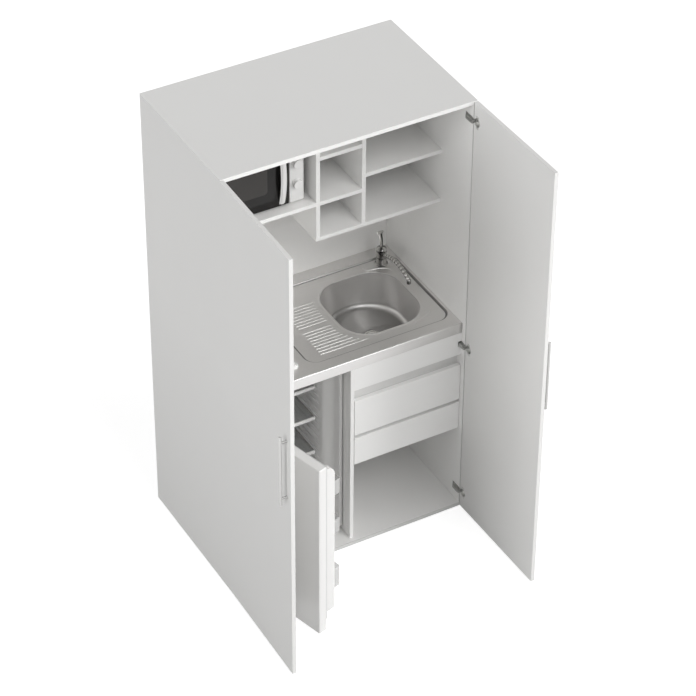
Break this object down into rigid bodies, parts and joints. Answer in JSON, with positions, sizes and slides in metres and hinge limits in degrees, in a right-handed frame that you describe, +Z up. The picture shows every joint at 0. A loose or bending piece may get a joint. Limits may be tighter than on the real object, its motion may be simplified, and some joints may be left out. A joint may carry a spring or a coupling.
{
  "type": "kitchenette unit with sink and hob",
  "caption": "Cupboard kitchenette with two tall hinged doors, steel sink and hob top, refrigerator, drawers, open shelves and a microwave.",
  "frame": {"origin": "on the floor at the middle of the carcass footprint", "axes": "+X to the right seen from the front, -Y out of the front, +Z up"},
  "size_m": [1.1238, 1.1445, 1.916],
  "materials": {
    "white_board": "satin white melamine board",
    "white_enamel": "white enamel and moulded plastic",
    "stainless": "satin stainless steel",
    "handle_metal": "satin steel bar",
    "hinge_metal": "nickel-plated steel",
    "tap_chrome": "polished chrome",
    "pine": "plain softwood rails",
    "beech": "beech dowels",
    "hotplate_iron": "black cast iron",
    "zinc_sheet": "zinc-coated sheet",
    "knob_white": "white knob",
    "pipe_plastic": "white waste pipe",
    "lining_plastic": "moulded white lining",
    "seal_rubber": "light grey seal",
    "clear_plastic": "clear moulded plastic",
    "shelf_glass": "tinted glass with white trim",
    "compressor_black": "black enamel",
    "oven_glass": "black glass front",
    "oven_enamel": "grey-white enamel",
    "plate_glass": "glass plate"
  },
  "bodies": {
    "cabinet": {"side_left": "white_board", "side_right": "white_board", "top_panel": "white_board", "bottom_panel": "white_board", "back_panel": "white_board", "divider": "white_board", "microwave_shelf": "white_board", "shelf_divider_left": "white_board", "shelf_divider_right": "white_board", "shelf_unit_base": "white_board", "inner_shelves": "white_board", "panel_dowels": "beech", "hinge_arms": "hinge_metal", "steel_worktop": "stainless", "worktop_frame": "pine", "sink_bowl": "stainless", "drain_flange": "tap_chrome", "waste_trap": "pipe_plastic", "tap_body": "tap_chrome", "hotplates": "hotplate_iron", "hob_tray": "zinc_sheet", "fascia": "white_board", "grip_rail": "white_enamel", "drawer_runners": "zinc_sheet", "fridge_casing": "white_enamel", "fridge_liner": "lining_plastic", "fridge_shelves": "shelf_glass", "fridge_crisper": "clear_plastic", "fridge_hinge_pins": "hinge_metal", "fridge_hinge_brackets": "hinge_metal", "fridge_compressor": "compressor_black", "microwave_case": "white_enamel", "microwave_chamber": "oven_enamel", "microwave_panel": "white_enamel"},
    "left_leaf": {"left_door": "white_board", "left_handle": "handle_metal", "left_hinge_cups": "hinge_metal"},
    "right_leaf": {"right_door": "white_board", "right_handle": "handle_metal", "right_hinge_cups": "hinge_metal"},
    "fridge_leaf": {"fridge_door": "white_enamel", "fridge_door_liner": "lining_plastic", "fridge_gasket": "seal_rubber", "fridge_door_racks": "clear_plastic"},
    "microwave_leaf": {"microwave_door": "oven_glass", "microwave_handle": "white_enamel"},
    "power_knob": {"microwave_power_knob": "knob_white"},
    "timer_knob": {"microwave_timer_knob": "knob_white"},
    "turntable": {"microwave_turntable": "plate_glass"},
    "upper_drawer": {"upper_drawer_front": "white_board", "upper_drawer_box": "white_board"},
    "lower_drawer": {"lower_drawer_front": "white_board", "lower_drawer_box": "white_board"},
    "spout": {"tap_spout": "tap_chrome"},
    "cap": {"tap_cap": "tap_chrome"},
    "lever": {"tap_lever": "tap_chrome"},
    "left_knob": {"left_hob_knob": "knob_white"},
    "right_knob": {"right_hob_knob": "knob_white"},
    "dial": {"thermostat_dial": "knob_white"},
    "strainer": {"strainer_basket": "stainless"}
  },
  "joints": [
    {"name": "left_door_swing", "type": "hinge", "parent": "cabinet", "child": "left_leaf", "pos_m": [-0.512, -0.3225, 0.958], "axis": [0, 0, -1], "range_deg": [-91, 9]},
    {"name": "right_door_swing", "type": "hinge", "parent": "cabinet", "child": "right_leaf", "pos_m": [0.512, -0.3225, 0.958], "axis": [0, 0, 1], "range_deg": [-91, 9]},
    {"name": "fridge_door_swing", "type": "hinge", "parent": "cabinet", "child": "fridge_leaf", "pos_m": [-0.468, -0.257, 0.443], "axis": [0, 0, -1], "range_deg": [-74.5, 7.87]},
    {"name": "microwave_door_swing", "type": "hinge", "parent": "cabinet", "child": "microwave_leaf", "pos_m": [-0.487, -0.058, 1.658], "axis": [0, 0, -1], "range_deg": [0, 85]},
    {"name": "microwave_power_turn", "type": "hinge", "parent": "cabinet", "child": "power_knob", "pos_m": [-0.0885, -0.071, 1.703], "axis": [0, 1, 0], "range_deg": [0, 300]},
    {"name": "microwave_timer_turn", "type": "hinge", "parent": "cabinet", "child": "timer_knob", "pos_m": [-0.0885, -0.071, 1.614], "axis": [0, 1, 0], "range_deg": [0, 330]},
    {"name": "turntable_spin", "type": "hinge", "parent": "cabinet", "child": "turntable", "pos_m": [-0.308, 0.103, 1.56], "axis": [0, 0, 1], "continuous": true},
    {"name": "upper_drawer_slide", "type": "slide", "parent": "cabinet", "child": "upper_drawer", "axis": [0, -1, 0], "range_m": [0, 0.3]},
    {"name": "lower_drawer_slide", "type": "slide", "parent": "cabinet", "child": "lower_drawer", "axis": [0, -1, 0], "range_m": [0, 0.3]},
    {"name": "tap_spout_swivel", "type": "hinge", "parent": "cabinet", "child": "spout", "pos_m": [0.428, 0.198, 0.928], "axis": [0, 0, 1], "range_deg": [-100, 15]},
    {"name": "tap_cap_turn", "type": "hinge", "parent": "cabinet", "child": "cap", "pos_m": [0.428, 0.198, 0.957], "axis": [0, 0, 1], "range_deg": [-40, 40]},
    {"name": "tap_lever_tilt", "type": "hinge", "parent": "cap", "child": "lever", "pos_m": [0.428, 0.198, 0.969], "axis": [1, 0, 0], "range_deg": [0, 25]},
    {"name": "left_hob_knob_turn", "type": "hinge", "parent": "cabinet", "child": "left_knob", "pos_m": [-0.245, -0.212, 0.9], "axis": [0, 0, -1], "range_deg": [0, 270]},
    {"name": "right_hob_knob_turn", "type": "hinge", "parent": "cabinet", "child": "right_knob", "pos_m": [-0.185, -0.212, 0.9], "axis": [0, 0, -1], "range_deg": [0, 270]},
    {"name": "thermostat_turn", "type": "hinge", "parent": "cabinet", "child": "dial", "pos_m": [-0.025, -0.042, 0.766], "axis": [1, 0, 0], "range_deg": [0, 270]},
    {"name": "strainer_lift", "type": "slide", "parent": "cabinet", "child": "strainer", "axis": [0, 0, 1], "range_m": [0, 0.008]}
  ],
  "couplings": [
    {"joint": "fridge_door_swing", "follows": "left_door_swing", "ratio": 0.81868}
  ]
}
